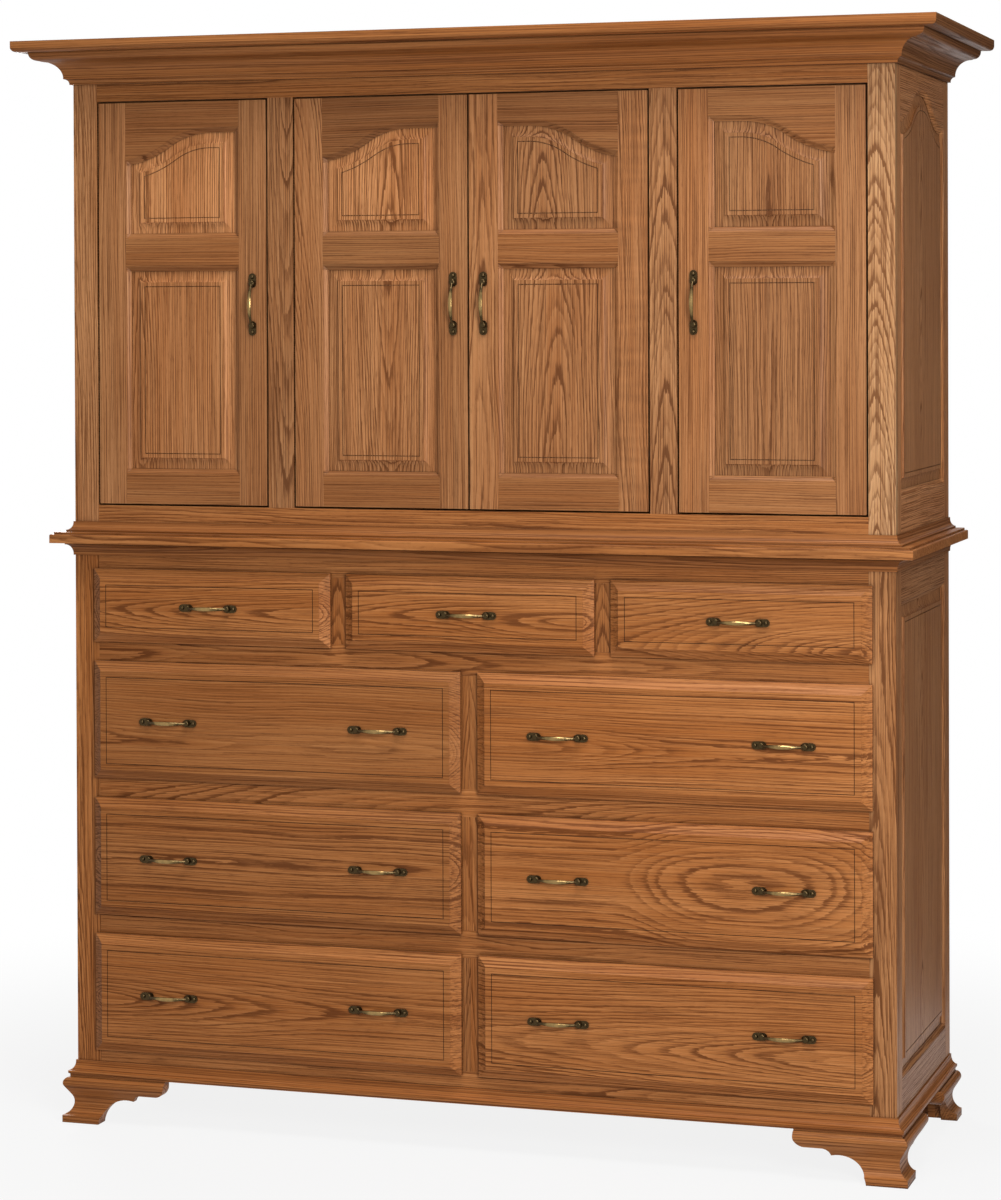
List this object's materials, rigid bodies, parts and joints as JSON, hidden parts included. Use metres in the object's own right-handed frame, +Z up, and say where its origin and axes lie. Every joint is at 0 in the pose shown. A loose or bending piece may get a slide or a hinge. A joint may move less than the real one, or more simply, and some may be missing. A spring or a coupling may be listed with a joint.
{
  "type": "mule chest",
  "caption": "Tall two-part oak chest: a deep base of drawers on ogee bracket feet under a cabinet with arched panelled doors and a cove crown.",
  "frame": {"origin": "centre of the footprint's bounding box on the floor, under the middle of the chest", "axes": "+X to the chest's right as it is seen from the front, +Y from the front to the back, +Z up"},
  "size_m": [1.696, 0.6, 1.9805],
  "materials": {
    "oak": "satin stained oak",
    "frame_oak": "satin stained oak",
    "dark_oak": "satin stained oak",
    "drawer_wood": "clear sealed plain wood",
    "plywood": "sealed plywood",
    "brass": "antique brass",
    "steel": "nickel-plated"
  },
  "bodies": {
    "cases": {"crown_moulding": "dark_oak", "upper_case_boards": "oak", "upper_face_frame": "frame_oak", "upper_side_frames": "frame_oak", "side_panels": "oak", "back_panels": "plywood", "shelf": "oak", "upper_base_moulding": "dark_oak", "hinge_arms": "steel", "waist_slab": "oak", "waist_cove_moulding": "dark_oak", "lower_face_frame": "frame_oak", "lower_side_frames": "frame_oak", "drawer_guides": "oak", "dust_boards": "oak", "base_moulding": "dark_oak", "bracket_feet": "dark_oak"},
    "left_door": {"left_door_frame": "frame_oak", "left_door_panels": "oak", "left_door_pull": "brass", "left_door_hinge_cups": "steel"},
    "centre_left_door": {"centre_left_door_frame": "frame_oak", "centre_left_door_panels": "oak", "centre_left_door_pull": "brass", "centre_left_door_hinge_cups": "steel"},
    "centre_right_door": {"centre_right_door_frame": "frame_oak", "centre_right_door_panels": "oak", "centre_right_door_pull": "brass", "centre_right_door_hinge_cups": "steel"},
    "right_door": {"right_door_frame": "frame_oak", "right_door_panels": "oak", "right_door_pull": "brass", "right_door_hinge_cups": "steel"},
    "top_left_drawer": {"top_left_drawer_front": "oak", "top_left_drawer_box": "drawer_wood", "top_left_drawer_pulls": "brass"},
    "top_centre_drawer": {"top_centre_drawer_front": "oak", "top_centre_drawer_box": "drawer_wood", "top_centre_drawer_pulls": "brass"},
    "top_right_drawer": {"top_right_drawer_front": "oak", "top_right_drawer_box": "drawer_wood", "top_right_drawer_pulls": "brass"},
    "bottom_left_drawer": {"bottom_left_drawer_front": "oak", "bottom_left_drawer_box": "drawer_wood", "bottom_left_drawer_pulls": "brass"},
    "bottom_right_drawer": {"bottom_right_drawer_front": "oak", "bottom_right_drawer_box": "drawer_wood", "bottom_right_drawer_pulls": "brass"},
    "middle_left_drawer": {"middle_left_drawer_front": "oak", "middle_left_drawer_box": "drawer_wood", "middle_left_drawer_pulls": "brass"},
    "middle_right_drawer": {"middle_right_drawer_front": "oak", "middle_right_drawer_box": "drawer_wood", "middle_right_drawer_pulls": "brass"},
    "upper_left_drawer": {"upper_left_drawer_front": "oak", "upper_left_drawer_box": "drawer_wood", "upper_left_drawer_pulls": "brass"},
    "upper_right_drawer": {"upper_right_drawer_front": "oak", "upper_right_drawer_box": "drawer_wood", "upper_right_drawer_pulls": "brass"}
  },
  "joints": [
    {"name": "left_door_hinge", "type": "hinge", "parent": "cases", "child": "left_door", "pos_m": [-0.71175, -0.214, 1.503], "axis": [0, 0, -1], "range_deg": [0, 105]},
    {"name": "centre_left_door_hinge", "type": "hinge", "parent": "cases", "child": "centre_left_door", "pos_m": [-0.32775, -0.214, 1.503], "axis": [0, 0, -1], "range_deg": [0, 105]},
    {"name": "centre_right_door_hinge", "type": "hinge", "parent": "cases", "child": "centre_right_door", "pos_m": [0.32775, -0.214, 1.503], "axis": [0, 0, 1], "range_deg": [0, 105]},
    {"name": "right_door_hinge", "type": "hinge", "parent": "cases", "child": "right_door", "pos_m": [0.71175, -0.214, 1.503], "axis": [0, 0, 1], "range_deg": [0, 105]},
    {"name": "top_left_drawer_slide", "type": "slide", "parent": "cases", "child": "top_left_drawer", "axis": [0, -1, 0], "range_m": [0, 0.36]},
    {"name": "top_centre_drawer_slide", "type": "slide", "parent": "cases", "child": "top_centre_drawer", "axis": [0, -1, 0], "range_m": [0, 0.36]},
    {"name": "top_right_drawer_slide", "type": "slide", "parent": "cases", "child": "top_right_drawer", "axis": [0, -1, 0], "range_m": [0, 0.36]},
    {"name": "bottom_left_drawer_slide", "type": "slide", "parent": "cases", "child": "bottom_left_drawer", "axis": [0, -1, 0], "range_m": [0, 0.36]},
    {"name": "bottom_right_drawer_slide", "type": "slide", "parent": "cases", "child": "bottom_right_drawer", "axis": [0, -1, 0], "range_m": [0, 0.36]},
    {"name": "middle_left_drawer_slide", "type": "slide", "parent": "cases", "child": "middle_left_drawer", "axis": [0, -1, 0], "range_m": [0, 0.36]},
    {"name": "middle_right_drawer_slide", "type": "slide", "parent": "cases", "child": "middle_right_drawer", "axis": [0, -1, 0], "range_m": [0, 0.36]},
    {"name": "upper_left_drawer_slide", "type": "slide", "parent": "cases", "child": "upper_left_drawer", "axis": [0, -1, 0], "range_m": [0, 0.36]},
    {"name": "upper_right_drawer_slide", "type": "slide", "parent": "cases", "child": "upper_right_drawer", "axis": [0, -1, 0], "range_m": [0, 0.36]}
  ]
}
